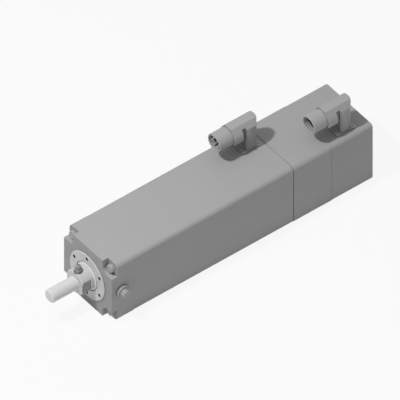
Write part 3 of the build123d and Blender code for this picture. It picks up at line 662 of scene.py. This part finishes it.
def is_nipple_seat(centre, normal):
    reach = math.hypot(centre.x - SEAT_PLACE, centre.y)
    return centre.z > SEAT_DEEPEST and reach < SEAT_RADIUS + TOUCH and normal.z > -PASSING


rod_areas = [(MILLED_FLAT_AND_SHADE, is_wrench_flat), (STUD_TURNED, is_stud), (RECESS_SHADE, is_nipple_seat)]
machine_edges("piston_rod", MACHINED_EDGE, areas=rod_areas)


# Studio
def add_lamp(name, travel, distance, power, size):
    """Square lamp whose light travels along the given direction to the front of the cylinder."""
    lamp = bpy.data.lights.new(name, "AREA")
    lamp.energy = power
    lamp.size = size
    holder = bpy.data.objects.new(name, lamp)
    holder.rotation_mode = "QUATERNION"
    holder.rotation_quaternion = Vector(travel).to_track_quat("-Z", "Y")
    holder.location = -distance * Vector(travel).normalized()
    bpy.context.scene.collection.objects.link(holder)


def pale_light(tree, lit, pale, share):
    """Mixes a lit shader with plain pale light for rays from the camera, metal and glass."""
    path = tree.nodes.new("ShaderNodeLightPath")
    seen = value_node(tree, "MAXIMUM", path.outputs["Is Camera Ray"], path.outputs["Is Glossy Ray"])
    seen = value_node(tree, "MAXIMUM", seen, path.outputs["Is Transmission Ray"])
    mix = tree.nodes.new("ShaderNodeMixShader")
    tree.links.new(value_node(tree, "MULTIPLY", seen, share), mix.inputs["Fac"])
    tree.links.new(lit, mix.inputs[1])
    tree.links.new(pale, mix.inputs[2])
    return mix.outputs[0]


def add_floor():
    mesh = bmesh.new()
    bmesh.ops.create_grid(mesh, x_segments=1, y_segments=1, size=FLOOR_REACH)
    bmesh.ops.translate(mesh, verts=mesh.verts, vec=(0, 0, cad_box[0][2] - FLOOR_GAP))
    data = bpy.data.meshes.new("floor")
    mesh.to_mesh(data)
    mesh.free()
    floor = bpy.data.objects.new("floor", data)
    bpy.context.scene.collection.objects.link(floor)
    material = bpy.data.materials.new("floor")
    material.use_nodes = True
    tree = material.node_tree
    tree.nodes.clear()
    matt = tree.nodes.new("ShaderNodeBsdfDiffuse")
    matt.inputs["Color"].default_value = (*grey(FLOOR_GREY), 1.0)
    glow = tree.nodes.new("ShaderNodeEmission")
    glow.inputs["Color"].default_value = (*grey(BACKGROUND), 1.0)
    glow.inputs["Strength"].default_value = FLOOR_GLOW
    output = tree.nodes.new("ShaderNodeOutputMaterial")
    mixed = pale_light(tree, matt.outputs[0], glow.outputs[0], FLOOR_GLOW_SHARE)
    tree.links.new(mixed, output.inputs["Surface"])
    data.materials.append(material)


def add_world():
    world = bpy.data.worlds.new("studio")
    bpy.context.scene.world = world
    world.use_nodes = True
    tree = world.node_tree
    tree.nodes.clear()
    soft = tree.nodes.new("ShaderNodeBackground")
    soft.inputs["Color"].default_value = (*grey(1.0), 1.0)
    soft.inputs["Strength"].default_value = WORLD_LIGHT
    pale = tree.nodes.new("ShaderNodeBackground")
    pale.inputs["Color"].default_value = (*grey(BACKGROUND), 1.0)
    output = tree.nodes.new("ShaderNodeOutputWorld")
    tree.links.new(pale_light(tree, soft.outputs[0], pale.outputs[0], 1.0), output.inputs["Surface"])


def add_camera():
    """Parallel camera at the photograph's angle, centred as the photograph is."""
    flat = math.cos(PHOTO_ELEVATION)
    x, y = flat * math.sin(PHOTO_AZIMUTH), flat * math.cos(PHOTO_AZIMUTH)
    towards = Vector((x, y, math.sin(PHOTO_ELEVATION)))
    camera = bpy.data.cameras.new("camera")
    camera.type = "ORTHO"
    camera.ortho_scale = PHOTO_WIDTH
    holder = bpy.data.objects.new("camera", camera)
    holder.rotation_mode = "QUATERNION"
    holder.rotation_quaternion = (-towards).to_track_quat("-Z", "Y")
    holder.location = PHOTO_CENTRE + towards * CAMERA_DISTANCE
    bpy.context.scene.collection.objects.link(holder)
    bpy.context.scene.camera = holder


add_floor()
add_world()
add_lamp("key", travel=(-0.42, 0.06, -1.0), distance=1.5, power=14.6, size=0.10)
add_lamp("sky", travel=(0.0, 0.0, -1.0), distance=2.5, power=6.5, size=2.0)
add_camera()
bpy.context.scene.view_settings.view_transform = "Standard"
